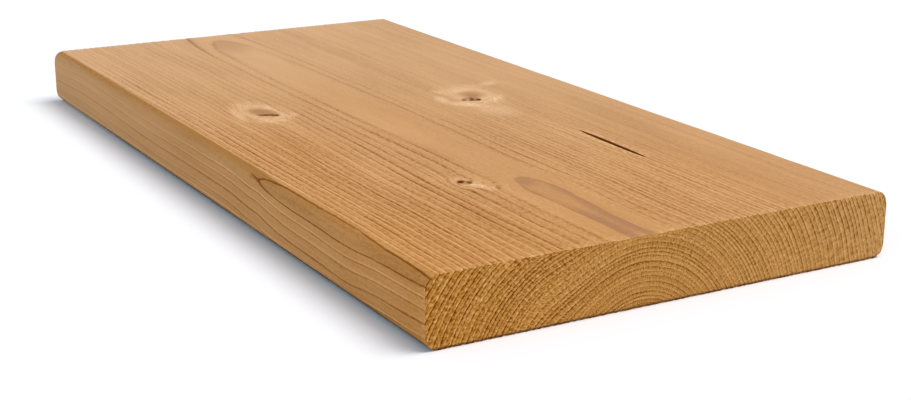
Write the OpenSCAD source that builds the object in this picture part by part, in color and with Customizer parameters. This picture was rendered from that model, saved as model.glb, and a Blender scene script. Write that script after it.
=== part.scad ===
// Planed timber plank: one flat-sawn board with four rounded long edges and square-sawn ends.
// Its upper face has one drying check and three knots whose hearts have shrunk into shallow pits.
// The board lies flat: length along Y, width along X, thickness along Z.
// The origin is the middle of the underside.

/* [Plank] */
// Length along the grain
plank_length = 400; // [300:5:4800]
// Width across the face
plank_width = 195; // [150:1:300]
// Planed thickness
plank_thickness = 26; // [18:1:60]
// Radius of the four long edges
edge_radius = 5; // [1:0.5:8]

/* [Drying check] */
// Length of the check along the grain
check_length = 50; // [20:1:90]
// Widest gap between its lips
check_gap = 1.2; // [0.4:0.1:3]
// Depth under the upper face at its middle
check_depth = 4; // [2:0.5:12]
// Depth under the upper face at its two tips
check_tip_depth = 0.4; // [0.1:0.1:1]
// Distance of its middle from the near end
check_from_end = 106.5; // [60:0.5:160]
// Distance of its middle from the right-hand edge
check_from_edge = 49.8; // [20:0.1:70]
// Lean of its far tip towards the right-hand edge, in degrees
check_lean = 1.6; // [0:0.1:4]

/* [Left knot] */
// Radius of the pit's mouth
left_knot_radius = 3.6; // [1:0.1:8]
// Depth of the pit
left_knot_depth = 1.4; // [0.3:0.1:4]
// Distance of the pit from the near end
left_knot_from_end = 220; // [180:1:280]
// Distance of the pit from the left-hand edge
left_knot_from_edge = 42; // [15:0.5:60]

/* [Right knot] */
// Radius of the pit's mouth
right_knot_radius = 4.2; // [1:0.1:8]
// Depth of the pit
right_knot_depth = 1.6; // [0.3:0.1:4]
// Distance of the pit from the near end
right_knot_from_end = 203; // [180:1:280]
// Distance of the pit from the right-hand edge
right_knot_from_edge = 60.5; // [15:0.5:65]

/* [Small knot] */
// Radius of the pit's mouth
small_knot_radius = 2.4; // [1:0.1:5]
// Depth of the pit
small_knot_depth = 1.8; // [0.3:0.1:3]
// Distance of the pit from the near end
small_knot_from_end = 86.5; // [40:0.5:150]
// Distance of the pit from the left-hand edge
small_knot_from_edge = 64.5; // [15:0.5:70]

/* [Hidden] */
wood = [0.80, 0.60, 0.40];
near_end_y = -plank_length / 2;
left_x = -plank_width / 2;
right_x = plank_width / 2;
// How far a cutting tool stands above the upper face
clear = 1;
$fn = 96;

// Radius of the circle in which a chord of the given length has the given rise.
function chord_radius(chord, rise) = (chord * chord / 4 + rise * rise) / (2 * rise);

// Section of the board, drawn in X and Z: a rectangle with rounded corners.
module section() {
    for (side = [-1, 1]) {
        translate([side * (right_x - edge_radius), edge_radius]) circle(edge_radius);
        translate([side * (right_x - edge_radius), plank_thickness - edge_radius]) circle(edge_radius);
    }
    translate([left_x + edge_radius, 0]) square([plank_width - 2 * edge_radius, plank_thickness]);
    translate([left_x, edge_radius]) square([plank_width, plank_thickness - 2 * edge_radius]);
}

// Plan of the check: two arcs that meet at its tips.
module check_plan() {
    arc_radius = chord_radius(check_length, check_gap / 2);
    intersection_for (side = [-1, 1]) {
        translate([side * (arc_radius - check_gap / 2), 0]) circle(arc_radius, $fn = 720);
    }
}

// Room of the drying check: its plan carried down to a floor that is a shallow arc along the grain.
module drying_check() {
    floor_radius = chord_radius(check_length, check_depth - check_tip_depth);
    floor_axis_z = floor_radius - check_depth;
    translate([right_x - check_from_edge, near_end_y + check_from_end, plank_thickness])
        rotate([0, 0, -check_lean]) intersection() {
            translate([0, 0, -check_depth - clear])
                linear_extrude(height = check_depth + 2 * clear) check_plan();
            translate([-check_gap, 0, floor_axis_z])
                rotate([0, 90, 0]) cylinder(r = floor_radius, h = 2 * check_gap, $fn = 360);
        }
}

// Room of a knot's sunk heart: a shallow dish in the upper face.
module knot_pit(x, from_end, mouth_radius, depth) {
    dish_radius = chord_radius(2 * mouth_radius, depth);
    translate([x, near_end_y + from_end, plank_thickness - depth + dish_radius])
        sphere(dish_radius);
}

module plank() {
    color(wood)
        difference() {
            translate([0, -near_end_y, 0])
                rotate([90, 0, 0]) linear_extrude(height = plank_length) section();
            drying_check();
            knot_pit(left_x + left_knot_from_edge, left_knot_from_end, left_knot_radius, left_knot_depth);
            knot_pit(right_x - right_knot_from_edge, right_knot_from_end, right_knot_radius, right_knot_depth);
            knot_pit(left_x + small_knot_from_edge, small_knot_from_end, small_knot_radius, small_knot_depth);
        }
}

plank();
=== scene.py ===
"""Planed softwood plank with rounded long edges and square-sawn ends, lying flat on a white floor.

The board is one closed skin. Its growth rings are cylinders round a pith that runs below the board.
The flames on the upper face, the arcs on the sawn ends and the lines along the edges are cuts through
the same rings. The wood is worked out in millimetres, X across, Y along the grain and Z up; MM turns it
into metres. A name that ends in SPAN holds the two ends of a smooth step, and one that ends in STEP also
holds the values at them.
"""

import math
from collections import namedtuple

import bpy
import numpy as np
from mathutils import Matrix, Vector


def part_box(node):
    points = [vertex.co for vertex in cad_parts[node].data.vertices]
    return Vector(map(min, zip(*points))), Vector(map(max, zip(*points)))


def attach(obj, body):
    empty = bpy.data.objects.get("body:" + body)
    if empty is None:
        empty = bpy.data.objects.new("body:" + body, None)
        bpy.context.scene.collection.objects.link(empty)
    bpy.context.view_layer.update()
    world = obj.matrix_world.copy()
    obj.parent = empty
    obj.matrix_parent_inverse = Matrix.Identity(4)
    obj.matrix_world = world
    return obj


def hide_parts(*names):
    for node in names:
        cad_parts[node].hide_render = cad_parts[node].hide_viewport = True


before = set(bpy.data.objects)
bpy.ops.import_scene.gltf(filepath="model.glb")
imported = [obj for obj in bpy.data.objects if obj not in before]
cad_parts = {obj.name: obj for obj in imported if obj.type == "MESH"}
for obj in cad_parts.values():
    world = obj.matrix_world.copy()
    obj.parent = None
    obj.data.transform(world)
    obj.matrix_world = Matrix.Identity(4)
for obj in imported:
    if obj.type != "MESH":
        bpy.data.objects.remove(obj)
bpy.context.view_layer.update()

# Sizes of the board: the outer ones from the frame, and the radius of its long edges
MM = 0.001
_, board_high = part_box("plank")
HALF_WIDTH = board_high.x / MM
HALF_LENGTH = board_high.y / MM
THICKNESS = board_high.z / MM
EDGE_RADIUS = 5.0

# Pith: how far under the upper face it runs, and where it lies across the board at stations along it
PITH_DEPTH = 46.0
PITH_STATIONS = (-200, -160, -147, -133, -118, -88, -40, 20, 75, 125, 160, 186, 200)
PITH_ACROSS = (-13.1, -13.1, -12.6, -12.4, -12.2, -11.7, -11.4, -11.9, -12.5, -12.5, -13.0, -12.6, -12.4)

# Flames: how much the rings over the pith swell or sink along the board, and how far to the sides that reaches
FLAME_STATIONS = (
    -200, -185, -165, -152, -141, -129, -118, -104,
    -88, -40, 20, 75, 125, 160, 186, 200,
)
FLAME_SWELL = (
    -0.67, -0.57, -0.65, -0.68, -0.80, -0.68, -0.35, 0.1,
    0.35, 0.0, -0.12, 0.15, 0.6, 1.15, 2.0, 2.6,
)
FLAME_REACH = 20.0

# Rings: radii of the two flames, widths next to them and of the rings that come out on the left edge, and the
# bounds of the random widths between and beyond them
FLAME_RADIUS = 48.0
INNER_FLAME_RADIUS = 45.65
INNER_FLAME_WIDTH = 1.0
RINGS_NEXT_TO_FLAME = (1.5, 1.9, 1.15, 1.45, 1.25, 1.25)
EDGE_RING_RADIUS = 75.34
EDGE_RINGS = (1.94, 1.87, 1.88, 3.2)
INNER_RINGS = 16
MIDDLE_RINGS = 11
OUTER_RINGS = 22
INNER_WIDTHS = (0.9, 2.8)
MIDDLE_WIDTHS = (1.2, 2.2)
OUTER_WIDTHS = (1.4, 2.4)

# How dark the ring lines are, how dark a year may be either way, and how dark it is between the flames
FLAME_VIGOUR = 0.55
NEXT_VIGOUR = (0.9, 0.5, 0.8, 1.0, 1.0, 0.5)
EDGE_VIGOUR = (1.0, 0.6, 0.75, 1.2, 0.6)
INNER_VIGOUR = (0.3, 1.1)
MIDDLE_VIGOUR = (0.25, 1.0)
OUTER_VIGOUR = (0.5, 1.0)
YEAR_SHADE = 0.3
FLAME_SHADE = -0.55

# To the left of the pith the rings are drawn in by a share, so that they lie flatter there
DRAWN_IN = 0.2
DRAWN_IN_SPAN = (12, 45)

# How far the rings wander and quiver, from what radius on, and how much calmer they are at the left edge
WANDER_SIZE = 0.3
QUIVER_SIZE = 0.06
WANDER_SPAN = (49, 60)
EDGE_CALM = 0.8
EDGE_CALM_SPAN = (80, 95)

# Left edge: how much the rings swell along it, the share held back near the upper face, and how much of that
# is let go towards the near end
EDGE_SWELL_STATIONS = (-200, -170, -140, -112, -85, -74, -66, -57, -40, 0, 60, 130, 200)
EDGE_SWELL = (1.52, 2.09, 2.46, 1.95, 1.32, 0.75, 0.24, 0.06, -0.52, -0.45, 0.32, -0.35, 0.42)
EDGE_SWELL_SPAN = (66, 95)
ARRIS_HOLD = 0.5
ARRIS_SPAN = (THICKNESS - 3.5, THICKNESS - 0.5)
ARRIS_FREE = 0.5
ARRIS_FREE_SPAN = (130, 200)

# Tone of the sides: darker wood outside the edge rings, painted shade on the left shoulder that begins later
# towards the near end, painted light that lightens the sides, cleaner sides, and a painted contact shadow near
# the floor that fades to the far end
OUTER_SHADE = 0.2
OUTER_SPAN = (88, 92)
OUTER_BLUR = 0.05
SHOULDER_PAINTED_SHADE = 0.95
SHOULDER_SPAN = (0.12, 0.26)
SHOULDER_LATE = 0.28
SHOULDER_LATE_SPAN = (60, 90)
SHOULDER_FADE = 0.75
SHOULDER_FADE_SPAN = (0.35, 1.0)
# Painted light that lightens the sides outside the shoulder
SIDE_PAINTED_LIGHT = 0.6
SIDE_SPAN = (0.1, 0.4)
SIDE_FLECKS_LOST = 0.4
SIDE_PALE_AND_SHEEN_LOST = 0.15
SIDE_BANDS_LOST = 0.85
CONTACT_SHADOW_SPAN = (0.05, 0.55)
CONTACT_SHADOW_FAR_LOST = 0.6
CONTACT_SHADOW_FAR_SPAN = (90, 190)

# How strong the ring lines are along the board: on its left border, in the left half, in the right half and on
# its sides, and how much of the painted shade on the left shoulder there is
STRENGTH_STATIONS = (-200, -130, -60, -10, 40, 90, 150, 200)
BORDER_STRENGTH = (0.9, 1.0, 1.0, 1.0, 0.9, 0.75, 0.45, 0.35)
LEFT_STRENGTH = (1.0, 1.0, 0.9, 0.65, 0.42, 0.34, 0.24, 0.24)
RIGHT_STRENGTH = (1.0, 0.95, 0.6, 0.32, 0.2, 0.16, 0.14, 0.14)
SIDE_STRENGTH = (2.1, 1.9, 2.3, 1.6, 1.2, 1.1, 1.0, 0.9)
SHADED_SHOULDER_STRENGTH = (0.5, 0.62, 1.15, 1.3, 1.35, 1.45, 1.45, 1.4)
BORDER_SPAN = (80, 87)
RIGHT_SPAN = (-2, 10)
FAR_RIGHT_LOST = 0.75
FAR_RIGHT_SPAN = (42, 66)

# The clear wood over the pith: half widths in which flecks are lost and lines are full, and its soft tone
CLEAR_HALF_WIDTH = 12.0
FLAME_HALF_WIDTH = 18.0
CLEAR_FLECKS_LOST = 0.85
FLAME_BANDS = 2.2
LEAST_FLECKS = 0.22

# How much paler the colour is at the right edge and at the far end: paler wood to the right, and painted sheen
# that grows towards the far end and the right
PALE_AND_SHEEN_RIGHT = 0.62
PALE_AND_SHEEN_FAR = 1.0

# Knots on the upper face: centre, half sizes, turn and depth of colour of the heart, then the post that the
# grain flows round: its radius, how far towards the near end it lies, how long the flow is drawn out, how far
# it is felt, its halo, and how far the rings bulge outwards at it
Knot = namedtuple("Knot", "x y across along turn heart post drop stretch felt halo bulge")
KNOTS = (
    Knot(-56, 25.2, 5.6, 9.2, 22, 0.85, 6, 1, 2, 3.2, 0.55, 5.5),
    Knot(41.4, 10.5, 7.2, 7.6, 0, 0.62, 7, 2, 1.7, 3.2, 0.6, 1.6),
    Knot(-33.7, -114.6, 2.4, 3.2, 0, 0.7, 3.6, 1, 1.6, 2.2, 0.3, 0.4),
)
SLIMMEST_BRANCH = 0.05
HEART_SPAN = (0.4, 1.3)
HALO_WIDTH = 0.65
BULGE_REACH = 1.2
KNOT_LINES = 0.9
KNOT_LINES_REACH = 4.0
HALO_LINES_LOST = 0.35

# The line beside the third knot: how far it is pushed aside at stations along it, its place and its reach
PUSH_STATIONS = (-146, -137, -131, -126, -120.5, -114, -106, -98)
PUSH_ACROSS = (0.0, -0.3, -0.6, 1.4, 3.0, 2.1, 0.6, 0.0)
PUSH_PLACE = -22.8
PUSH_REACH = 4.2

# Places on the upper face: centre, half sizes, turn of the long axis, and depth or strength
Spot = namedtuple("Spot", "x y across along turn amount")
UPPER_SPAN = (THICKNESS - 2.0, THICKNESS - 1.0)

# The swirl beside the third knot, where the rings bulge
SWELLS = (
    Spot(-31.3, -119.6, 3.6, 7.8, 36, 2.6),
)

# Sunk dark places in and beside the knots
PITS = (
    Spot(-56.2, 19.7, 1.7, 5.6, 58.7, 0.75),
    Spot(-53.5, 18.1, 2.2, 3, 58.7, 1.05),
    Spot(37, 2.6, 4.8, 5.4, 0, 0.52),
    Spot(33.4, 3, 1.2, 2.6, -30, 0.75),
    Spot(37.2, 2.6, 1.3, 4.4, -30, 1),
    Spot(39.6, 0.4, 1.5, 2.8, -30, 0.85),
    Spot(-34.6, -112.8, 1.5, 2.7, -30, 1),
    Spot(-32.1, -115, 1.4, 2.2, -30, 0.85),
    Spot(-25.5, -125.2, 0.9, 3.9, -34.1, 0.7),
    Spot(-36.7, -126.4, 0.9, 5, -3.5, 0.6),
)
PIT_SPAN = (0.4, 1.3)
PIT_SLOPE_SPAN = (0.2, 1.1)

# Darker wood inside the near flame and the far flame's tip
STAINS = (
    Spot(-13.5, -125, 5, 7, 0, 0.8),
    Spot(-7.6, -146, 1.5, 25, -1, 0.8),
    Spot(-19.3, -144, 1, 13, -6, 0.35),
    Spot(-13, -139, 7, 15, 0, 0.24),
    Spot(-16, -184, 2.6, 27, 0, 0.85),
    Spot(-10.2, -184, 2.3, 34, 0, 0.9),
    Spot(-12.5, 180, 11, 34, 0, 0.4),
)
STAIN_SPAN = (0.4, 1.2)
STAIN_BLUR = 0.04

# Pale wood beside the knots
PALE_SPOTS = (
    Spot(-31.8, -120.6, 2.4, 5, 25, 1),
    Spot(-29.4, -126, 1.9, 4, 25, 0.6),
    Spot(60.3, 26.8, 4.2, 7, -61.6, 0.5),
    Spot(49.1, 24.5, 6, 7, 61.8, 0.35),
    Spot(46.7, -2.3, 3.4, 9.5, -52.9, 0.9),
    Spot(-67, 26, 2.8, 17, -8, 0.65),
    Spot(-60, 10.5, 6.5, 5, 0, 0.6),
    Spot(-59, 42, 7, 5, 0, 0.3),
    Spot(-46.7, 15.1, 3.7, 5.7, -18, 0.55),
    Spot(31.6, 20, 4, 7.5, 14.8, 0.55),
    Spot(24.9, 7.6, 3.4, 9.5, -10.3, 0.7),
    Spot(30.2, -5.6, 5.2, 10.5, 41.4, 1),
    Spot(36, -20, 10, 16, 0, 0.5),
)
PALE_SPAN = (0.3, 1.2)

# Warmer wood, where less of the pale tint and its painted sheen is left
WARM_SPOTS = (
    Spot(42, -150, 42, 75, 0, 0.38),
    Spot(-72, -45, 26, 55, 0, 0.38),
    Spot(-12, 0, 14, 50, 0, 0.25),
)

# Drying check in the upper face
CHECK_X = 47.5
CHECK_Y = -93.5
CHECK_HALF_LENGTH = 25.5
CHECK_HALF_GAP = 1.0
CHECK_DEPTH = 4.0
CHECK_LEAN = math.radians(1.3)
CHECK_ROOM = 2.6
CHECK_LIP = 3.2
CHECK_CALM = 60.0
# Share of the check's lens over which painted shade fills it
CHECK_SHADE_SPAN = (0.0, 0.3)

# Mesh columns at the check: place beside its line, how far each follows its lean, how far the lips open it, and
# its share of the depth; one that is opened further than CHECK_INSIDE lies in the check
CHECK_COLUMNS = (
    (-1.8, 0.5, 0, 0),
    (-0.9, 1, -0.3, 0),
    (-0.16, 1, -1, 0),
    (-0.06, 1, -0.45, 1),
    (0.06, 1, 0.45, 1),
    (0.16, 1, 1, 0),
    (0.9, 1, 0.3, 0),
    (1.8, 0.5, 0, 0),
)
CHECK_INSIDE = 0.4

# Relief of the brushed surface, smooth at the knots' hearts, of the dark places, the sawn ends and their broken
# edges, and the least slant to the surface that a ring is taken to have
RIDGE_HEIGHT = 0.13
HEART_SMOOTH = 1.2
RIDGE_RISE_SPAN = (0.25, 0.85)
RIDGE_FALL_SPAN = (0.93, 1.0)
PIT_DEPTH = 0.45
SAWN_ROUGHNESS = 0.08
ARRIS_WEAR = 0.3
ARRIS_ROWS = (0.35, 0.9)
SHARP_ANGLE = math.radians(55)
LEAST_SLANT = 0.06

# Mesh counts, how much its columns and rows crowd, and how far: in a knot's half lengths, or in millimetres
FACE_COLUMNS = 290
EDGE_COLUMNS = 12
SECTION_ROWS = 14
LENGTH_ROWS = 126
FINE_PLACES = 4001
EVEN_COLUMNS = 0.35
KNOT_COLUMNS = 0.35
KNOT_COLUMNS_REACH = 1.5
KNOT_ROWS = 2.6
KNOT_ROWS_REACH = 1.6
KNOT_ROWS_MARGIN = 4.0
CHECK_ROWS = 1.2
CHECK_ROWS_REACH = 8.0

# Noise, in patches for each millimetre: across, along and up the grain, or out from the pith and along the ring
STREAK_PATCHES = (0.9, 0.025, 0.9)
FLECK_PATCHES = (1.2, 0.42, 1.2)
DRIFT_PATCHES = (0.05, 0.011, 0.05)
DUCT_PATCHES = (1.1, 0.12, 1.1)
SLOW_PATCHES = (0.25, 0.02, 0.25)
QUICK_PATCHES = (0.9, 0.14, 0.9)
FADED_PATCHES = (0.3, 0.014, 0.3)
RAY_PATCHES = (0.3, 1.4, 0.0)
SPECK_PATCHES = (1.6, 1.3, 0.0)
BAND_PATCHES = (0.5, 0.015, 0.0)
NOISE_SPAN = (0.3, 0.7)
DRIFT_SPAN = (0.28, 0.72)
DUCT_SPAN = (0.66, 0.76)

# Ring lines in the finishes: how far they stray in years, and their widths from faces to sides and on the ends
PLANED_RAGGED = 0.17
SAWN_RAGGED = 0.24
PLANED_WIDTH_STEP = (0.1, 0.5, 0.58, 0.34)
SAWN_LINE_WIDTH = 0.42

# Colours as the eye reads them, 0 to 255, and the wood's from its darkest tone to its lightest
PLANED_SHADES = (
    (0.0, (92, 44, 6)),
    (0.25, (148, 88, 26)),
    (0.5, (195, 137, 75)),
    (0.75, (221, 167, 110)),
    (1.0, (246, 203, 152)),
)
SAWN_SHADES = (
    (0.0, (92, 44, 4)),
    (0.25, (146, 86, 20)),
    (0.5, (190, 130, 54)),
    (0.75, (214, 158, 88)),
    (1.0, (238, 194, 132)),
)
# Pale tint: paler wood, and painted sheen where it is strongest
PALE_AND_SHEEN_PLANED = (255, 238, 212)
PALE_AND_SHEEN_SAWN = (255, 232, 180)
STAIN_COLOUR = (173, 127, 95)
# Painted shade on the left shoulder, tinted olive
SHADED_SHOULDER_COLOUR = (162, 113, 50)
HEART_COLOUR = (174, 126, 86)
PIT_COLOUR = (98, 48, 8)
# Painted shade on the walls of the check
CHECK_SHADE_COLOUR = (150, 84, 24)
# Painted contact shadow, a dark line where the board meets the floor
CONTACT_SHADOW_COLOUR = (60, 46, 26)

# How much of the pale tint, with its painted sheen, dark and light tones take, the painted contact shadow at
# heights near the floor, and on the sawn ends how strong lines and grit are from left to right, and how much of
# the lines is lost low on the right
TINT_STEP = (0.2, 0.5, 0.3, 1.0)
PLANED_CONTACT_SHADOW_STEP = (1.0, 4.0, 0.95, 0.0)
SAWN_CONTACT_SHADOW_STEP = (0.4, 1.2, 0.85, 0.0)
END_LINES_STEP = (-80.0, -20.0, 1.0, 0.8)
END_GRIT_STEP = (-80.0, 60.0, 1.0, 0.5)
END_RIGHT_SPAN = (25.0, 60.0)
END_LOW_STEP = (2.0, 18.0, 0.7, -0.25)

# How dull the wood is, and the strength and depth in metres of the bump of its fibres and saw marks
DULLNESS = (0.7, 0.8)
SPECULAR = 0.02
PLANED_BUMP = (0.5, 0.0003)
SAWN_BUMP = (0.6, 0.0004)

# Floor, light and camera, in metres
FLOOR_HALF = 4.0
FLOOR_DROP = 0.00005
FLOOR_COLOUR = (0.958, 0.96, 0.985, 1.0)
FLOOR_LIFT = (0.005, 0.02, 0.035, 1.0)
WHITE = (1.0, 1.0, 1.0, 1.0)
WORLD_STRENGTH = 0.39
WORLD_COLOUR = (0.88, 1.0, 1.08)
Light = namedtuple("Light", "name come_from softness strength colour")
LIGHTS = (
    Light("key_light", (0.38, -0.22, 0.92), math.radians(38), 0.655, (1.07, 1.0, 0.965)),
    Light("fill_light", (-0.80, -0.45, 0.40), math.radians(60), 0.19, (0.90, 1.0, 1.06)),
)
CAMERA_PLACE = (-0.32919, -0.62633, 0.19710)
CAMERA_FORWARD = (0.473779, 0.832061, -0.288457)
CAMERA_RIGHT = (0.869201, -0.494458, 0.001353)
CAMERA_LENS = 64.80
SENSOR_WIDTH = 36.0

rng = np.random.default_rng(23)


def ease(value, low, high):
    """Smooth step: 0 below low, 1 above high, and 3t^2 - 2t^3 of the share t between them."""
    share = np.clip((value - low) / (high - low), 0.0, 1.0)
    return share * share * (3.0 - 2.0 * share)


def bell(value):
    """Bell curve: 1 at zero, and 1/e at one on either side."""
    return np.exp(-np.square(value))


def curve_through(at, stations, values):
    """Cubic curve through the stations: between two of them a Hermite arc with slopes from their neighbours."""
    stations = np.asarray(stations)
    values = np.asarray(values)
    slopes = np.gradient(values, stations)
    at = np.clip(at, stations[0], stations[-1])
    left = np.clip(np.searchsorted(stations, at, side="right") - 1, 0, len(stations) - 2)
    gap = stations[left + 1] - stations[left]
    t = (at - stations[left]) / gap
    rise = values[left + 1] - values[left]
    bend_in = slopes[left] * gap - rise
    bend_out = -slopes[left + 1] * gap + rise
    return values[left] + t * rise + t * (1 - t) * ((1 - t) * bend_in + t * bend_out)


def oval_distance(spot, x, y, share=1.0):
    """Distance from an oval's centre as a multiple of its half sizes: 0 in the middle, 1 on its rim."""
    turn = math.radians(spot.turn)
    dx = x - spot.x
    dy = y - spot.y
    across = (dx * math.cos(turn) + dy * math.sin(turn)) / (spot.across * share)
    along = (dy * math.cos(turn) - dx * math.sin(turn)) / (spot.along * share)
    return np.hypot(across, along)


def strongest(spots, x, y, span):
    """The strongest of several ovals at each place, each easing out over a span of its half sizes."""
    best = np.zeros(x.shape)
    for spot in spots:
        best = np.maximum(best, min(spot.amount, 1.0) * (1.0 - ease(oval_distance(spot, x, y), *span)))
    return best


def ring_table():
    """Radii where one year's ring ends, from the pith outwards, and how dark each ending line and each year is.

    Measured widths stand next to the flames and at the left edge. Random widths fill the space between them,
    scaled to fit, and go on inwards and outwards.
    """
    inner = np.concatenate([[INNER_FLAME_WIDTH], rng.uniform(*INNER_WIDTHS, INNER_RINGS)])
    below = INNER_FLAME_RADIUS - np.cumsum(inner)
    above = FLAME_RADIUS + np.cumsum(RINGS_NEXT_TO_FLAME)
    middle = rng.uniform(*MIDDLE_WIDTHS, MIDDLE_RINGS)
    middle = above[-1] + np.cumsum(middle * (EDGE_RING_RADIUS - above[-1]) / middle.sum())
    outer = np.concatenate([EDGE_RINGS, rng.uniform(*OUTER_WIDTHS, OUTER_RINGS)])
    outer = EDGE_RING_RADIUS + np.cumsum(outer)
    radii = np.concatenate([below[::-1], [INNER_FLAME_RADIUS, FLAME_RADIUS], above, middle, outer])
    vigour = np.concatenate([
        np.square(rng.uniform(*INNER_VIGOUR, len(below))),
        [FLAME_VIGOUR, FLAME_VIGOUR],
        NEXT_VIGOUR,
        rng.uniform(*MIDDLE_VIGOUR, MIDDLE_RINGS - 1),
        EDGE_VIGOUR,
        rng.uniform(*OUTER_VIGOUR, OUTER_RINGS),
    ])
    shade = rng.uniform(-YEAR_SHADE, YEAR_SHADE, len(radii))
    shade[len(below) + 1] = FLAME_SHADE
    return radii, vigour, shade


def drawn_in(offset):
    """Distance across from the pith, made smaller to its left by a share that grows over a smooth step."""
    return offset * (1.0 - DRAWN_IN * ease(-offset, *DRAWN_IN_SPAN))


def drift_field(waves, *lengths):
    """A smooth wandering about zero as a function of place: sine waves of random slope and start."""
    slopes = rng.uniform(-1.0, 1.0, (waves, len(lengths))) / np.asarray(lengths)
    starts = rng.uniform(0.0, 1.0, waves)

    def field(*place):
        total = 0.0
        for slope, start in zip(slopes, starts):
            total = total + np.sin(2 * np.pi * (sum(s * axis for s, axis in zip(slope, place)) + start))
        return total / math.sqrt(waves / 2)

    return field


RADII, VIGOUR, SHADE = ring_table()
EDGE_RING = len(RADII) - OUTER_RINGS - 2
WANDER = drift_field(7, 50.0, 150.0, 40.0)
QUIVER = drift_field(9, 12.0, 40.0, 12.0)
BREAKAGE = drift_field(11, 2.5, 60.0, 9.0)


def knot_at_height(knot, z):
    """A branch is a cone from the pith to the upper face: its place at a height, and its share of full size."""
    pith_x = curve_through(knot.y, PITH_STATIONS, PITH_ACROSS)
    share = np.maximum((z - THICKNESS + PITH_DEPTH) / PITH_DEPTH, SLIMMEST_BRANCH)
    return knot._replace(x=pith_x + (knot.x - pith_x) * share), share


def check_place(x, y):
    """Share along the drying check from -1 to 1, how far its lens is open, and the distance from its line."""
    share = np.clip((y - CHECK_Y) / CHECK_HALF_LENGTH, -1.0, 1.0)
    line = CHECK_X + share * CHECK_HALF_LENGTH * math.tan(CHECK_LEAN)
    return share, 1.0 - np.abs(share) ** 3, x - line


def line_strength(x, y):
    """How strong the ring lines are: three strengths along the board, joined by smooth steps across it."""
    border = curve_through(y, STRENGTH_STATIONS, BORDER_STRENGTH)
    left = curve_through(y, STRENGTH_STATIONS, LEFT_STRENGTH)
    right = curve_through(y, STRENGTH_STATIONS, RIGHT_STRENGTH)
    right = right * (1.0 - FAR_RIGHT_LOST * ease(x, *FAR_RIGHT_SPAN))
    strength = left + ease(-x, *BORDER_SPAN) * (border - left)
    return strength + ease(x, *RIGHT_SPAN) * (right - strength)


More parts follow.
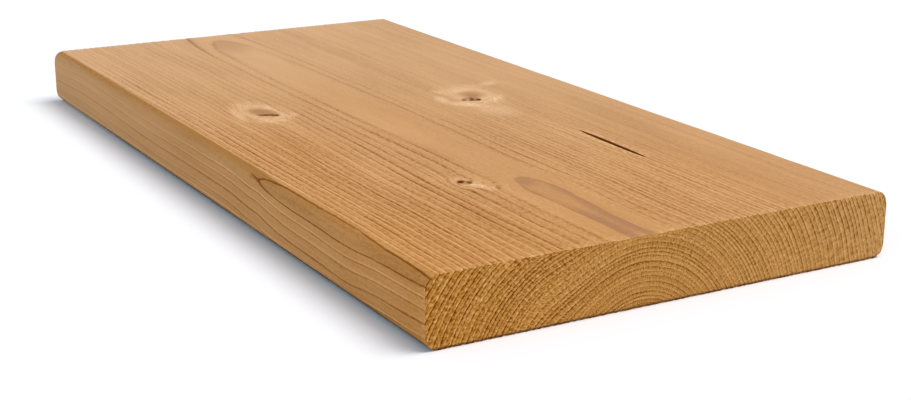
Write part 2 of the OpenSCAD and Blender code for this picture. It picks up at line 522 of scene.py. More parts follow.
def growth(x, y, z):
    """The wood at each place, as a dictionary of arrays.

    grain: where the fibre through the place would lie with no knots. Fibres part round a knot as a stream parts
    round a post: the offset from it shrinks by (post / distance)^2, with distance along the grain shortened.
    section: distance from the pith and along the ring, in millimetres, seen on a cut across the board.
    rings: years counted from the pith, from the distance to the pith less the bulges at the knots, plus the
    swelling over the pith and along the left edge and a slow wandering.
    pitch: years for each millimetre of that distance. slant: how fast it grows across and upwards.
    vigour: how dark the nearest ring's line is. shade: how dark the year is.
    lines, bands and flecks: how strong the ring lines, the soft tone beside them and the short fibres are.
    pale: paler wood to the right, and painted sheen that grows towards the far end and the right: 1 less the
    product of what either leaves.
    heart: brown middles of the knots. halo: pale wood round them. hollow: sunk dark places.
    lip: raised fibres beside the drying check. stain: darker wood inside the inner flame and the far tip.
    """
    beside_line = bell((x - PUSH_PLACE) / PUSH_REACH)
    across = x - beside_line * curve_through(y, PUSH_STATIONS, PUSH_ACROSS)
    heart, halo, bulge, by_knot = np.zeros((4, *x.shape))
    for knot in KNOTS:
        spot, share = knot_at_height(knot, z)
        dx = x - spot.x
        dy = (y - spot.y + knot.drop) / knot.stretch
        reach = np.square(knot.post * share)
        far = np.square(dx) + np.square(dy)
        parted = np.minimum(reach / np.maximum(far, 1e-6), 1.0)
        across -= dx * parted * np.exp(-far / (np.square(knot.felt) * reach))
        heart = np.maximum(heart, knot.heart * (1.0 - ease(oval_distance(spot, x, y, share), *HEART_SPAN)))
        ring = bell((np.sqrt(far / reach) - 1.0) / HALO_WIDTH)
        halo = np.maximum(halo, knot.halo * ring)
        bulge += knot.bulge * np.exp(-far / (BULGE_REACH * reach))
        by_knot += np.exp(-far / (KNOT_LINES_REACH * reach))
    for spot in SWELLS:
        bulge += spot.amount * bell(oval_distance(spot, x, y))

    # Rings: the distance from the pith, swollen and sunk, and counted in years
    pith_x = curve_through(y, PITH_STATIONS, PITH_ACROSS)
    rise = z - THICKNESS + PITH_DEPTH
    aside = across - pith_x
    offset = drawn_in(aside)
    steepness = drawn_in(aside + 0.5) - drawn_in(aside - 0.5)
    radius = np.hypot(offset, rise)
    slant = np.stack([offset * steepness, rise], axis=-1) / radius[:, None]
    arc = np.arctan2(aside, rise) * PITH_DEPTH
    over_pith = bell(aside / FLAME_REACH)
    radius += over_pith * curve_through(y, FLAME_STATIONS, FLAME_SWELL) - bulge
    hold = ARRIS_HOLD * (1.0 - ARRIS_FREE * ease(-y, *ARRIS_FREE_SPAN))
    held = 1.0 - hold * ease(z, *ARRIS_SPAN)
    radius += held * ease(-x, *EDGE_SWELL_SPAN) * curve_through(y, EDGE_SWELL_STATIONS, EDGE_SWELL)
    outward = ease(radius, *WANDER_SPAN) * (1.0 - EDGE_CALM * ease(-x, *EDGE_CALM_SPAN))
    radius += outward * (WANDER_SIZE * WANDER(x, y, z) + QUIVER_SIZE * QUIVER(x, y, z))
    years = np.arange(len(RADII))
    rings = np.interp(radius, RADII, years)
    pitch = np.interp(radius + 0.5, RADII, years) - np.interp(radius - 0.5, RADII, years)
    year = np.minimum(np.floor(rings).astype(int) + 1, len(RADII) - 1)
    edge_radius = RADII[EDGE_RING]
    past_edge = ease(-x, *OUTER_SPAN) * ease(radius, edge_radius - OUTER_BLUR, edge_radius + OUTER_BLUR)

    # Marks on the upper face
    on_top = ease(z, *UPPER_SPAN)
    halo = np.maximum(halo, on_top * strongest(PALE_SPOTS, x, y, PALE_SPAN))
    stain_limit = np.where(y < 0.0, INNER_FLAME_RADIUS, FLAME_RADIUS)
    inside_flame = 1.0 - ease(radius, stain_limit - STAIN_BLUR, stain_limit + STAIN_BLUR)
    in_clear = np.exp(-np.square(aside / CLEAR_HALF_WIDTH) ** 3) * on_top
    by_flame = np.exp(-np.square(aside / FLAME_HALF_WIDTH) ** 3) * on_top
    strength = line_strength(x, y)
    at_knots = (1.0 + KNOT_LINES * by_knot) * (1.0 - HALO_LINES_LOST * np.clip(halo, 0.0, 1.0))
    # The pale tint: paler wood to the right, and painted sheen that grows towards the far end and the right
    to_right = np.clip((x + HALF_WIDTH) / (2 * HALF_WIDTH), 0.0, 1.0)
    to_far = np.clip((y + HALF_LENGTH) / (2 * HALF_LENGTH), 0.0, 1.0)
    pale = 1.0 - (1.0 - PALE_AND_SHEEN_RIGHT * to_right) * (1.0 - PALE_AND_SHEEN_FAR * to_far)
    for spot in WARM_SPOTS:
        pale *= 1.0 - on_top * spot.amount * bell(oval_distance(spot, x, y))
    _, lens, beside = check_place(x, y)
    return {
        "rings": rings,
        "pitch": pitch,
        "vigour": np.interp(radius, RADII, VIGOUR),
        "shade": SHADE[year] + OUTER_SHADE * past_edge,
        "slant": slant,
        "grain": np.stack([across, y, z], axis=-1),
        "section": np.stack([radius, arc, y], axis=-1),
        "lines": (strength + by_flame * (1.0 - strength)) * at_knots,
        "bands": strength + by_flame * (FLAME_BANDS - strength),
        "flecks": LEAST_FLECKS + (1.0 - LEAST_FLECKS) * strength * (1.0 - CLEAR_FLECKS_LOST * in_clear),
        "pale": pale,
        "heart": heart,
        "halo": halo,
        "hollow": on_top * strongest(PITS, x, y, PIT_SPAN),
        "lip": on_top * np.sqrt(lens) * bell(beside / CHECK_LIP),
        "stain": on_top * strongest(STAINS, x, y, STAIN_SPAN) * inside_flame,
    }


def spread(low, high, count, crowding):
    """Places from low to high in count steps, each an equal share of the running total of crowding."""
    fine = np.linspace(low, high, FINE_PLACES)
    weight = crowding(fine)
    total = np.concatenate([[0.0], np.cumsum((weight[1:] + weight[:-1]) / 2)])
    return np.interp(np.linspace(0.0, total[-1], count + 1), total, fine)


def column_crowding(x):
    """Columns crowd where the rings are close on the upper face, away from the pith, and at the knots."""
    offset = np.abs(x - np.mean(PITH_ACROSS))
    crowd = EVEN_COLUMNS + offset / np.hypot(offset, PITH_DEPTH)
    for knot in KNOTS:
        crowd += KNOT_COLUMNS * bell((x - knot.x) / (KNOT_COLUMNS_REACH * knot.along))
    return crowd


def row_crowding(y):
    """Rows crowd at the knots and the drying check's tips."""
    crowd = np.ones_like(y)
    for knot in KNOTS:
        reach = KNOT_ROWS_REACH * knot.along + KNOT_ROWS_MARGIN
        crowd += KNOT_ROWS * bell((y - knot.y) / reach)
    check_tip = np.abs(np.abs(y - CHECK_Y) - CHECK_HALF_LENGTH)
    return crowd + CHECK_ROWS * bell(check_tip / CHECK_ROWS_REACH)


def board_stations():
    """Places along the board: crowded rows, with close rows at each end for its broken edge."""
    inside = HALF_LENGTH - ARRIS_ROWS[-1]
    rows = spread(-inside, inside, LENGTH_ROWS, row_crowding)
    edge = HALF_LENGTH - np.array([0.0, *ARRIS_ROWS[:-1]])
    return np.concatenate([-edge, rows, edge[::-1]])


def board_columns():
    """Places across the board: the rounded edges in equal angles, the crowded face and the check's columns.

    Returns the places, and for each what the table of the check's columns gives, or nothing.
    """
    angles = np.linspace(0.0, np.pi / 2, EDGE_COLUMNS, endpoint=False)
    arc = HALF_WIDTH - EDGE_RADIUS + EDGE_RADIUS * np.cos(angles)
    flat = spread(-HALF_WIDTH + EDGE_RADIUS, HALF_WIDTH - EDGE_RADIUS, FACE_COLUMNS, column_crowding)
    flat = flat[np.abs(flat - CHECK_X) > CHECK_ROOM]
    plain = np.concatenate([-arc, flat, arc])
    offsets, *parts = np.array(CHECK_COLUMNS).T
    places = np.concatenate([plain, CHECK_X + offsets])
    order = np.argsort(places)
    nothing = np.zeros(len(plain))
    return (places[order], *(np.concatenate([nothing, part])[order] for part in parts))


def outline_height(x):
    """Height of the upper outline over a place across the board: the thickness, less the edge's arc."""
    past = np.clip(np.abs(x) - (HALF_WIDTH - EDGE_RADIUS), 0.0, EDGE_RADIUS)
    return THICKNESS - EDGE_RADIUS + np.sqrt(np.square(EDGE_RADIUS) - np.square(past))


def ridge(rings):
    """Height of the brushed surface across a ring, 0 to 1: a slow rise to the latewood, then a quick fall."""
    phase = rings % 1.0
    return ease(phase, *RIDGE_RISE_SPAN) * (1.0 - ease(phase, *RIDGE_FALL_SPAN))


def board_mesh():
    """Vertices, faces and wood fields of the board.

    The section is a grid of columns and rows inside the rounded outline. Its rim is carried along the length,
    and the whole grid closes both ends. Every place is then carved inwards, never outwards, by the relief.
    """
    columns, lean, opening, check_floor = board_columns()
    last_column = len(columns) - 1
    last_row = SECTION_ROWS
    stations = board_stations()
    upper = outline_height(columns)
    rows = np.arange(last_row + 1) / last_row
    section_z = (THICKNESS - upper)[:, None] + (2 * upper - THICKNESS)[:, None] * rows[None, :]

    # Rim of the section, counter-clockwise seen from the near end
    up = np.arange(last_row + 1)
    along = np.arange(last_column + 1)
    rim_column = np.concatenate([
        along,
        np.full(last_row, last_column),
        along[-2::-1],
        np.zeros(last_row - 1, int),
    ])
    rim_row = np.concatenate([
        np.zeros(last_column + 1, int),
        up[1:],
        np.full(last_column, last_row),
        up[-2:0:-1],
    ])
    rim_count = len(rim_column)
    on_top = rim_row == last_row
    on_flat_row = on_top | (rim_row == 0)

    # Outward direction at each place of the rim
    past = np.clip(np.abs(columns) - (HALF_WIDTH - EDGE_RADIUS), 0.0, EDGE_RADIUS) / EDGE_RADIUS
    side = np.sign(columns)[rim_column]
    out_x = side * np.where(on_flat_row, past[rim_column], 1.0)
    out_z = np.where(on_top, 1.0, -1.0) * np.sqrt(np.maximum(1.0 - np.square(out_x), 0.0)) * on_flat_row

    # The rim along the length, with the check's columns led along its lean and opened as a lens
    check_share, lens, _ = check_place(0.0, stations)
    calm = ease(HALF_LENGTH - np.abs(stations), 0.0, CHECK_CALM)
    shift = check_share * CHECK_HALF_LENGTH * math.tan(CHECK_LEAN) * calm
    led = shift[:, None] * lean[None, :] + CHECK_HALF_GAP * lens[:, None] * opening[None, :]
    x = columns[rim_column][None, :] + np.where(on_top, led[:, rim_column], 0.0)
    y = np.repeat(stations[:, None], rim_count, axis=1)
    z = np.repeat(section_z[rim_column, rim_row][None, :], len(stations), axis=0)

    # The inside of the two end grids
    inner_x = np.repeat(columns[1:-1, None], last_row - 1, axis=1).ravel()
    inner_z = section_z[1:-1, 1:-1].ravel()
    end_x = np.tile(inner_x, 2)
    end_z = np.tile(inner_z, 2)
    end_y = np.repeat([-HALF_LENGTH, HALF_LENGTH], inner_x.size)
    place = np.stack([
        np.concatenate([x.ravel(), end_x]),
        np.concatenate([y.ravel(), end_y]),
        np.concatenate([z.ravel(), end_z]),
    ], axis=-1)
    wood = growth(*place.T)
    skin = rim_count * len(stations)
    split = np.zeros(len(place))
    split[:skin] = (lens[:, None] * (check_floor[rim_column] * on_top)[None, :]).ravel()
    # Painted shade on the check's walls, where the lips open it
    in_check = (np.abs(opening[rim_column]) > CHECK_INSIDE) * on_top
    wood["split"] = np.zeros(len(place))
    wood["split"][:skin] = (ease(lens, *CHECK_SHADE_SPAN)[:, None] * in_check[None, :]).ravel()

    # Carving: brushed ridges, sunk knots, the check and broken end edges on the skin, saw roughness on the ends
    crest = ridge(wood["rings"])
    carve = RIDGE_HEIGHT * (1.0 - crest) * (1.0 - np.minimum(HEART_SMOOTH * wood["heart"], 1.0))
    upper_face = np.zeros(len(place), bool)
    upper_face[:skin] = np.broadcast_to(on_top, x.shape).ravel()
    for pit in PITS:
        sunk = 1.0 - ease(oval_distance(pit, place[:, 0], place[:, 1]), *PIT_SLOPE_SPAN)
        carve += upper_face * PIT_DEPTH * pit.amount * sunk
    carve += CHECK_DEPTH * split
    at_end = np.abs(place[:, 1]) > HALF_LENGTH - 1e-6
    broken = 0.5 + 0.5 * np.tanh(BREAKAGE(place[:, 0], place[:, 1], place[:, 2]))
    carve += at_end * ARRIS_WEAR * broken
    carve[skin:] = 0.0
    out = np.zeros((len(place), 2))
    out[:skin] = np.repeat(np.stack([out_x, out_z], axis=-1)[None], len(stations), axis=0).reshape(-1, 2)
    place[:, 0] -= carve * out[:, 0]
    place[:, 2] -= carve * out[:, 1]
    rough = SAWN_ROUGHNESS * (rng.uniform(0.0, 1.0, len(place)) + 1.0 - crest)
    place[:, 1] -= np.sign(place[:, 1]) * at_end * rough
    to_end = HALF_LENGTH - np.abs(place[:, 1])
    wood["arris"] = 1.0 - ease(to_end, 0.0, 2.0 * ARRIS_ROWS[-1])
    wood["arris"][skin:] = 0.0

    # Years for each millimetre along the surface, from those straight out from the pith
    slant = wood.pop("slant")
    along_skin = np.abs(slant[:, 0] * out[:, 1] - slant[:, 1] * out[:, 0])
    on_skin = np.arange(len(place)) < skin
    along_end = np.hypot(slant[:, 0], slant[:, 1])
    wood["pitch"] *= np.where(on_skin, np.maximum(along_skin, LEAST_SLANT), along_end)

    # On the sides the lines are thin and clean and painted light lightens them; painted shade darkens the left
    # shoulder over the outermost rings, and a painted contact shadow lies near the floor
    wood["edge"] = np.abs(out[:, 0])
    on_edge = ease(wood["edge"], *SIDE_SPAN)
    to_far = ease(place[:, 1], *CONTACT_SHADOW_FAR_SPAN)
    wood["painted_contact_shadow"] = ease(wood["edge"], *CONTACT_SHADOW_SPAN) * (1.0 - CONTACT_SHADOW_FAR_LOST * to_far)
    wood["flecks"] *= 1.0 - SIDE_FLECKS_LOST * on_edge
    wood["pale"] *= 1.0 - SIDE_PALE_AND_SHEEN_LOST * on_edge
    wood["bands"] *= 1.0 - SIDE_BANDS_LOST * on_edge
    side_lines = curve_through(place[:, 1], STRENGTH_STATIONS, SIDE_STRENGTH)
    wood["lines"] += on_edge * (side_lines - wood["lines"])
    to_left = -out[:, 0]
    late = SHOULDER_LATE * ease(-place[:, 1], *SHOULDER_LATE_SPAN)
    shaded_shoulder = ease(to_left - late, *SHOULDER_SPAN)
    shaded_shoulder *= 1.0 - SHOULDER_FADE * ease(to_left, *SHOULDER_FADE_SPAN)
    depth = curve_through(place[:, 1], STRENGTH_STATIONS, SHADED_SHOULDER_STRENGTH)
    wood["shaded_shoulder"] = shaded_shoulder * (out[:, 1] > -0.01) * depth
    wood["shade"] += SHOULDER_PAINTED_SHADE * wood["shaded_shoulder"] - SIDE_PAINTED_LIGHT * on_edge * (1.0 - shaded_shoulder)

    # Faces: the skin's strips, then the two ends
    ring_from = np.arange(rim_count)
    ring_to = np.roll(ring_from, -1)
    strip = np.arange(len(stations) - 1)[:, None] * rim_count
    skin_faces = np.stack([
        strip + ring_from, strip + rim_count + ring_from, strip + rim_count + ring_to, strip + ring_to,
    ], axis=-1).reshape(-1, 4)
    near = np.full((last_column + 1, last_row + 1), -1)
    near[rim_column, rim_row] = ring_from
    near[1:-1, 1:-1] = skin + np.arange(inner_x.size).reshape(last_column - 1, last_row - 1)
    far = np.full_like(near, -1)
    far[rim_column, rim_row] = ring_from + rim_count * (len(stations) - 1)
    far[1:-1, 1:-1] = near[1:-1, 1:-1] + inner_x.size
    near_faces = np.stack([near[:-1, :-1], near[1:, :-1], near[1:, 1:], near[:-1, 1:]], axis=-1).reshape(-1, 4)
    far_faces = np.stack([far[:-1, :-1], far[:-1, 1:], far[1:, 1:], far[1:, :-1]], axis=-1).reshape(-1, 4)
    faces = np.concatenate([skin_faces, near_faces, far_faces])
    sawn = np.arange(len(faces)) >= len(skin_faces)
    return place, faces, sawn, wood


def add_object(name, data):
    """A new object in the scene."""
    made = bpy.data.objects.new(name, data)
    bpy.context.scene.collection.objects.link(made)
    return made


def make_board(finishes):
    """The board as a Blender mesh: its wood fields as attributes, and a finish each for skin and sawn ends."""
    place, faces, sawn, wood = board_mesh()
    mesh = bpy.data.meshes.new("plank_wood")
    mesh.vertices.add(len(place))
    mesh.vertices.foreach_set("co", (place * MM).astype(np.float32).ravel())
    mesh.loops.add(faces.size)
    mesh.loops.foreach_set("vertex_index", faces.astype(np.int32).ravel())
    mesh.polygons.add(len(faces))
    mesh.polygons.foreach_set("loop_start", np.arange(0, faces.size, 4, dtype=np.int32))
    mesh.polygons.foreach_set("material_index", sawn.astype(np.int32))
    mesh.update(calc_edges=True)
    mesh.validate()
    mesh.polygons.foreach_set("use_smooth", np.ones(len(faces), bool))
    mesh.set_sharp_from_angle(angle=SHARP_ANGLE)
    for name, values in wood.items():
        vector = values.ndim == 2
        kind = "FLOAT_VECTOR" if vector else "FLOAT"
        field = mesh.attributes.new(name, kind, "POINT")
        field.data.foreach_set("vector" if vector else "value", values.astype(np.float32).ravel())
    for finish in finishes:
        mesh.materials.append(finish)
    return add_object("plank_board", mesh)


def colour(seen):
    """A colour as the eye reads it, 0 to 255, turned into the linear values that shaders use."""
    parts = np.array(seen) / 255.0
    linear = np.where(parts <= 0.04045, parts / 12.92, ((parts + 0.055) / 1.055) ** 2.4)
    return (*linear.tolist(), 1.0)


def plug(tree, socket, value):
    """Links an output to a socket, or sets the socket's own value."""
    if isinstance(value, bpy.types.NodeSocket):
        tree.links.new(value, socket)
    else:
        socket.default_value = value


def plug_all(tree, made, sockets):
    """Links or sets several sockets of a node, by name or by number."""
    for name, value in sockets.items():
        plug(tree, made.inputs[name], value)


def add_node(tree, kind, sockets=None, **settings):
    """A shader node with its settings and its sockets set or linked."""
    made = tree.nodes.new(kind)
    for name, value in settings.items():
        setattr(made, name, value)
    plug_all(tree, made, sockets or {})
    return made


def calc(tree, operation, *values):
    """A Math node's result."""
    return add_node(tree, "ShaderNodeMath", dict(enumerate(values)), operation=operation).outputs[0]


def product(tree, *values):
    """Several values multiplied."""
    result = values[0]
    for value in values[1:]:
        result = calc(tree, "MULTIPLY", result, value)
    return result


def blend_tone(tree, start, *parts):
    """A start plus several parts, each a value, its middle and how much of its distance from that is added."""
    result = start
    for value, middle, amount in parts:
        result = calc(tree, "MULTIPLY_ADD", calc(tree, "SUBTRACT", value, middle), amount, result)
    return result


def step(tree, value, low, high, start=0.0, end=1.0):
    """Smooth step of a value from start to end."""
    sockets = {"Value": value, "From Min": low, "From Max": high, "To Min": start, "To Max": end}
    return add_node(tree, "ShaderNodeMapRange", sockets, interpolation_type="SMOOTHSTEP").outputs[0]


def mix(tree, share, first, second):
    """Two colours mixed by a share."""
    made = add_node(tree, "ShaderNodeMix", data_type="RGBA")
    sockets = {socket.identifier: socket for socket in made.inputs}
    plug(tree, sockets["Factor_Float"], share)
    plug(tree, sockets["A_Color"], first)
    plug(tree, sockets["B_Color"], second)
    return next(socket for socket in made.outputs if socket.identifier == "Result_Color")


def shades(tree, value, stops):
    """Colours along a value, each stop a place from 0 to 1 and its colour."""
    made = add_node(tree, "ShaderNodeValToRGB", {"Fac": value})
    band = made.color_ramp.elements
    for spot, (place, shade) in zip((band[0], band[-1]), (stops[0], stops[-1])):
        spot.position = place
        spot.color = colour(shade)
    for place, shade in stops[1:-1]:
        band.new(place).color = colour(shade)
    return made.outputs["Color"]


def noise(tree, place, stretch, detail=2.0, roughness=0.5):
    """Soft noise of a place after its axes are multiplied by stretch, in patches per millimetre."""
    scaled = add_node(tree, "ShaderNodeVectorMath", {0: place, 1: stretch}, operation="MULTIPLY")
    sockets = {"Vector": scaled.outputs[0], "Scale": 1.0, "Detail": detail, "Roughness": roughness}
    return add_node(tree, "ShaderNodeTexNoise", sockets).outputs[0]


def strong_noise(tree, place, stretch):
    """Rough noise of a place, drawn out to its full range."""
    return step(tree, noise(tree, place, stretch, roughness=0.6), *NOISE_SPAN)


def wood_field(tree, name):
    """One of the board's wood fields."""
    made = add_node(tree, "ShaderNodeAttribute", attribute_name=name)
    return made.outputs["Vector" if name in ("grain", "section") else "Fac"]


def axis(tree, place, name):
    """One axis of a place."""
    return add_node(tree, "ShaderNodeSeparateXYZ", {"Vector": place}).outputs[name]


def new_group(name, inputs, outputs):
    """An empty shader group with named sockets, all numbers but the grain, and its two end nodes."""
    tree = bpy.data.node_groups.new(name, "ShaderNodeTree")
    for direction, sockets in (("INPUT", inputs), ("OUTPUT", outputs)):
        for socket in sockets:
            kind = "NodeSocketVector" if socket == "Grain" else "NodeSocketFloat"
            tree.interface.new_socket(socket, in_out=direction, socket_type=kind)
    return tree, tree.nodes.new("NodeGroupInput"), tree.nodes.new("NodeGroupOutput")


def growth_ring_group():
    """The end of each year's ring on a surface.

    Line: the thin dark latewood, as wide in millimetres at any slant of the cut, from the pitch on the surface.
    Soft: the tone that deepens towards it. Crest: the pale early wood that follows it.
    Ragged moves the line by noise along the grain. Each year has its own vigour, and lines fade in patches.
    """
    inputs = ("Rings", "Pitch", "Vigour", "Grain", "Ragged", "Width")
    tree, start, end = new_group("growth_rings", inputs, ("Line", "Soft", "Crest"))
    grain = start.outputs["Grain"]
    slow = noise(tree, grain, SLOW_PATCHES)
    quick = noise(tree, grain, QUICK_PATCHES)
    ragged = blend_tone(tree, 0.0, (slow, 0.5, 0.6), (quick, 0.5, 0.5))
    moved = calc(tree, "MULTIPLY_ADD", ragged, start.outputs["Ragged"], start.outputs["Rings"])
    phase = calc(tree, "FRACT", moved)
    pitch = calc(tree, "MAXIMUM", start.outputs["Pitch"], 0.03)
    before = calc(tree, "DIVIDE", calc(tree, "SUBTRACT", 1.0, phase), pitch)
    after = calc(tree, "DIVIDE", phase, pitch)
    width = product(tree, start.outputs["Width"], step(tree, pitch, 0.08, 0.32, 3.2, 1.0))
    vigour = start.outputs["Vigour"]
    share = calc(tree, "DIVIDE", after, width)
    inner = step(tree, calc(tree, "DIVIDE", before, width), 0.1, 1.0, 1.0, 0.0)
    outer = step(tree, share, 0.0, 0.35, 1.0, 0.0)
    patch = step(tree, noise(tree, grain, FADED_PATCHES), 0.34, 0.62, 0.75, 1.0)
    soft = calc(tree, "POWER", step(tree, phase, 0.5, 1.0), 1.3)
    crest = product(tree, step(tree, share, 0.3, 0.7), step(tree, share, 1.0, 2.4, 1.0, 0.0))
    close = step(tree, pitch, 0.15, 0.35)
    plug_all(tree, end, {
        "Line": product(tree, calc(tree, "MAXIMUM", inner, outer), patch, vigour),
        "Soft": product(tree, soft, vigour),
        "Crest": product(tree, crest, patch, close),
    })
    return tree


def fibre_group():
    """Fibres along the grain: long streaks, short flecks, broad drifts of tone, and short dark resin ducts."""
    tree, start, end = new_group("wood_fibres", ("Grain",), ("Streak", "Fleck", "Drift", "Duct"))
    grain = start.outputs["Grain"]
    drift = noise(tree, grain, DRIFT_PATCHES)
    duct = noise(tree, grain, DUCT_PATCHES, detail=1.0)
    plug_all(tree, end, {
        "Streak": strong_noise(tree, grain, STREAK_PATCHES),
        "Fleck": strong_noise(tree, grain, FLECK_PATCHES),
        "Drift": step(tree, drift, *DRIFT_SPAN),
        "Duct": step(tree, duct, *DUCT_SPAN),
    })
    return tree


def use_group(tree, group, **sockets):
    """A group placed in a material with its own values."""
    return add_node(tree, "ShaderNodeGroup", sockets, node_tree=group).outputs


def rings_on(tree, group, ragged, width):
    """The ring lines on a surface of the board, from its wood fields."""
    fields = {name.capitalize(): wood_field(tree, name) for name in ("rings", "pitch", "vigour", "grain")}
    return use_group(tree, group, Ragged=ragged, Width=width, **fields)


def near_floor(tree, fade):
    """A smooth step of the height over the board's underside in millimetres."""
    place = add_node(tree, "ShaderNodeTexCoord").outputs["Object"]
    return step(tree, calc(tree, "DIVIDE", axis(tree, place, "Z"), MM), *fade)


def new_finish(name):
    """An empty material, its node tree and its Principled shader."""
    finish = bpy.data.materials.new(name)
    finish.use_nodes = True
    tree = finish.node_tree
    shader = next(item for item in tree.nodes if item.type == "BSDF_PRINCIPLED")
    return finish, tree, shader


def dress(tree, shader, wood, dullness, height, strength, distance):
    """Gives a shader its colour, its dullness and a bump from a height."""
    plug(tree, shader.inputs["Base Color"], wood)
    plug(tree, shader.inputs["Roughness"], dullness)
    shader.inputs["Specular IOR Level"].default_value = SPECULAR
    bump = add_node(tree, "ShaderNodeBump", {"Height": height, "Strength": strength, "Distance": distance})
    plug(tree, shader.inputs["Normal"], bump.outputs[0])


def planed_finish(rings_group, fibres_group):
    """Brushed face: golden wood, thin brown ring lines, fibres, pale halos round knots, dark sunk places, a
    pale tint with painted sheen, painted shade on the left shoulder and in the check, and a painted contact
    shadow.
    """
    finish, tree, shader = new_finish("planed_softwood")
    width = step(tree, wood_field(tree, "edge"), *PLANED_WIDTH_STEP)
    rings = rings_on(tree, rings_group, PLANED_RAGGED, width)
    fibres = use_group(tree, fibres_group, Grain=wood_field(tree, "grain"))
    lines = wood_field(tree, "lines")
    bands = wood_field(tree, "bands")
    flecks = wood_field(tree, "flecks")
    halo = wood_field(tree, "halo")
    tone = blend_tone(
        tree,
        0.5,
        (product(tree, rings["Line"], lines), 0.0, -0.135),
        (product(tree, rings["Soft"], bands), 0.1, -0.06),
        (product(tree, rings["Crest"], lines), 0.1, 0.18),
        (wood_field(tree, "shade"), 0.0, -0.08),
        (product(tree, calc(tree, "SUBTRACT", fibres["Streak"], 0.5), flecks), 0.0, 0.13),
        (product(tree, calc(tree, "SUBTRACT", fibres["Fleck"], 0.5), flecks), 0.0, 0.17),
        (fibres["Drift"], 0.5, 0.07),
        (product(tree, fibres["Duct"], flecks), 0.0, -0.06),
        (halo, 0.0, 0.2),
        (product(tree, halo, fibres["Fleck"]), 0.0, 0.22),
        (product(tree, halo, rings["Line"]), 0.0, -0.2),
        (product(tree, wood_field(tree, "lip"), fibres["Fleck"]), 0.0, 0.4),
        (product(tree, wood_field(tree, "arris"), fibres["Fleck"]), 0.0, 0.2),
    )
    wood = shades(tree, tone, PLANED_SHADES)
    light = step(tree, tone, *TINT_STEP)
    # The pale tint: paler wood to the right and round the knots, and painted sheen towards the far end and the
    # right
    pale_and_sheen = blend_tone(tree, 0.0, (wood_field(tree, "pale"), 0.0, 0.23), (halo, 0.0, 0.1))
    wood = mix(tree, product(tree, pale_and_sheen, light), wood, colour(PALE_AND_SHEEN_PLANED))
    wood = mix(tree, wood_field(tree, "stain"), wood, colour(STAIN_COLOUR))
    # Painted shade on the left shoulder, tinted olive, strongest on light tones
    uneven = blend_tone(tree, 0.6, (fibres["Fleck"], 0.5, 0.3))
    shaded_shoulder = product(tree, wood_field(tree, "shaded_shoulder"), light, uneven)
    wood = mix(tree, shaded_shoulder, wood, colour(SHADED_SHOULDER_COLOUR))
    heart = product(tree, wood_field(tree, "heart"), blend_tone(tree, 1.0, (fibres["Fleck"], 0.5, 0.25)))
    wood = mix(tree, heart, wood, colour(HEART_COLOUR))
    sunk = product(tree, wood_field(tree, "hollow"), blend_tone(tree, 1.1, (fibres["Fleck"], 0.5, 0.9)))
    wood = mix(tree, step(tree, sunk, 0.1, 1.0), wood, colour(PIT_COLOUR))
    # Painted shade in the check
    wood = mix(tree, wood_field(tree, "split"), wood, colour(CHECK_SHADE_COLOUR))
    # Painted contact shadow: the lower edges darken near the floor
    low = product(tree, near_floor(tree, PLANED_CONTACT_SHADOW_STEP), wood_field(tree, "painted_contact_shadow"))
    wood = mix(tree, low, wood, colour(CONTACT_SHADOW_COLOUR))
    dullness = step(tree, fibres["Streak"], 0.0, 1.0, *DULLNESS)
    relief = ((rings["Line"], 0.0, 0.5), (fibres["Streak"], 0.5, 0.6), (fibres["Fleck"], 0.5, 0.6))
    dress(tree, shader, wood, dullness, blend_tone(tree, 0.0, *relief), *PLANED_BUMP)
    return finish


def sawn_finish(rings_group):
    """Sawn end: deeper gold with thin dark ring lines, broken by pale rays that cross them, and fine flecks, a
    pale tint with painted sheen on the far end, and a painted contact shadow along the bottom.
    """
    finish, tree, shader = new_finish("sawn_end_grain")
    grain = wood_field(tree, "grain")
    section = wood_field(tree, "section")
    rings = rings_on(tree, rings_group, SAWN_RAGGED, SAWN_LINE_WIDTH)
    ray = strong_noise(tree, section, RAY_PATCHES)
    speck = strong_noise(tree, section, SPECK_PATCHES)
    band = strong_noise(tree, section, BAND_PATCHES)
    across = axis(tree, grain, "X")
    left = step(tree, across, *END_LINES_STEP)
    lost_low = step(tree, axis(tree, grain, "Z"), *END_LOW_STEP)
    low_right = product(tree, step(tree, across, *END_RIGHT_SPAN), lost_low)
    clear = product(tree, left, calc(tree, "SUBTRACT", 1.0, low_right))
    grit = step(tree, across, *END_GRIT_STEP)
    tone = blend_tone(
        tree,
        0.5,
        (product(tree, rings["Line"], clear), 0.0, -0.36),
        (product(tree, rings["Soft"], left), 0.2, -0.1),
        (product(tree, rings["Crest"], left), 0.2, 0.18),
        (ray, 0.5, 0.22),
        (product(tree, calc(tree, "SUBTRACT", speck, 0.5), grit), 0.0, 0.42),
        (band, 0.5, 0.12),
    )
    wood = shades(tree, tone, SAWN_SHADES)
    light = step(tree, tone, *TINT_STEP)
    # The pale tint on the ends: paler wood to the right, and painted sheen on the far end
    pale_and_sheen = product(tree, wood_field(tree, "pale"), light, 0.22)
    wood = mix(tree, pale_and_sheen, wood, colour(PALE_AND_SHEEN_SAWN))
    # Painted contact shadow: a dark line along the bottom of the end
    wood = mix(tree, near_floor(tree, SAWN_CONTACT_SHADOW_STEP), wood, colour(CONTACT_SHADOW_COLOUR))
    relief = ((rings["Line"], 0.0, 0.6), (speck, 0.5, 0.8))
    dress(tree, shader, wood, DULLNESS[1], blend_tone(tree, 0.0, *relief), *SAWN_BUMP)
    return finish


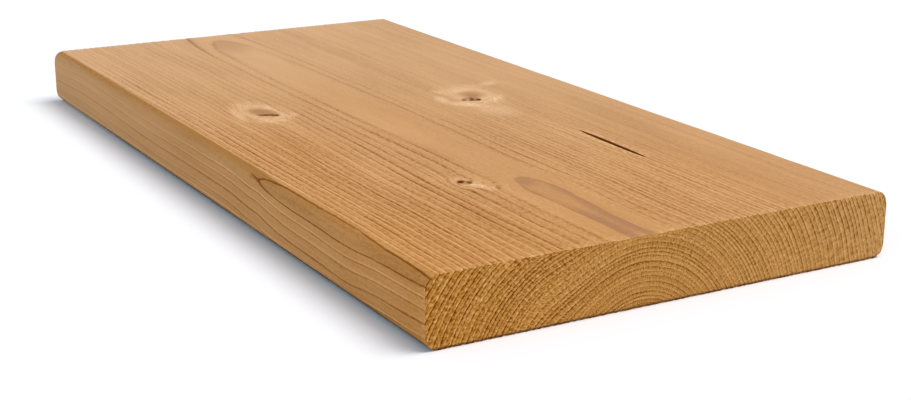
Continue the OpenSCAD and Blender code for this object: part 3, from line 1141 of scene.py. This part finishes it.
def white_floor():
    """A wide white sheet that keeps the board's shadow; camera rays see it lifted a little, to white."""
    mesh = bpy.data.meshes.new("floor")
    signs = ((-1, -1), (1, -1), (1, 1), (-1, 1))
    corners = [(x * FLOOR_HALF, y * FLOOR_HALF, -FLOOR_DROP) for x, y in signs]
    mesh.from_pydata(corners, [], [(0, 1, 2, 3)])
    floor = add_object("floor", mesh)
    paper = bpy.data.materials.new("white_floor")
    paper.use_nodes = True
    tree = paper.node_tree
    tree.nodes.clear()
    seen = tree.nodes.new("ShaderNodeLightPath").outputs["Is Camera Ray"]
    matt = add_node(tree, "ShaderNodeBsdfDiffuse", {"Color": FLOOR_COLOUR})
    lift = add_node(tree, "ShaderNodeEmission", {"Color": FLOOR_LIFT, "Strength": seen})
    both = add_node(tree, "ShaderNodeAddShader", {0: matt.outputs[0], 1: lift.outputs[0]})
    add_node(tree, "ShaderNodeOutputMaterial", {"Surface": both.outputs[0]})
    mesh.materials.append(paper)


def white_world():
    """Even, faintly cool surroundings at a plain level, seen by the camera and in reflections as white."""
    world = bpy.data.worlds.new("white_room")
    bpy.context.scene.world = world
    world.use_nodes = True
    tree = world.node_tree
    path = tree.nodes.new("ShaderNodeLightPath").outputs
    mirrored = calc(tree, "MAXIMUM", path["Is Glossy Ray"], path["Is Transmission Ray"])
    direct = calc(tree, "MAXIMUM", path["Is Camera Ray"], mirrored)
    back = next(item for item in tree.nodes if item.type == "BACKGROUND")
    cool = (*(WORLD_STRENGTH * part for part in WORLD_COLOUR), 1.0)
    plug(tree, back.inputs["Color"], mix(tree, direct, cool, WHITE))
    back.inputs["Strength"].default_value = 1.0


def soft_lights():
    """A wide soft light from high on the right and a faint one from the left, both even, as from far away."""
    for light in LIGHTS:
        lamp = bpy.data.lights.new(light.name, "SUN")
        lamp.energy = light.strength * math.pi
        lamp.angle = light.softness
        lamp.color = light.colour
        holder = add_object(light.name, lamp)
        holder.rotation_euler = (-Vector(light.come_from)).to_track_quat("-Z", "Y").to_euler()


def photo_camera():
    """The camera where the photograph was taken from, turned by its forward and right directions."""
    lens = bpy.data.cameras.new("photo_camera")
    lens.lens = CAMERA_LENS
    lens.sensor_width = SENSOR_WIDTH
    lens.sensor_fit = "HORIZONTAL"
    camera = add_object("photo_camera", lens)
    forward = Vector(CAMERA_FORWARD).normalized()
    right = Vector(CAMERA_RIGHT).normalized()
    up = right.cross(forward)
    turn = Matrix((right, up, -forward)).transposed()
    camera.matrix_world = Matrix.Translation(CAMERA_PLACE) @ turn.to_4x4()
    bpy.context.scene.camera = camera


ring_lines = growth_ring_group()
fibre_lines = fibre_group()
plank_board = make_board([planed_finish(ring_lines, fibre_lines), sawn_finish(ring_lines)])
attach(plank_board, "root")
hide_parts("plank")

white_floor()
white_world()
soft_lights()
photo_camera()
bpy.context.scene.view_settings.view_transform = "Standard"
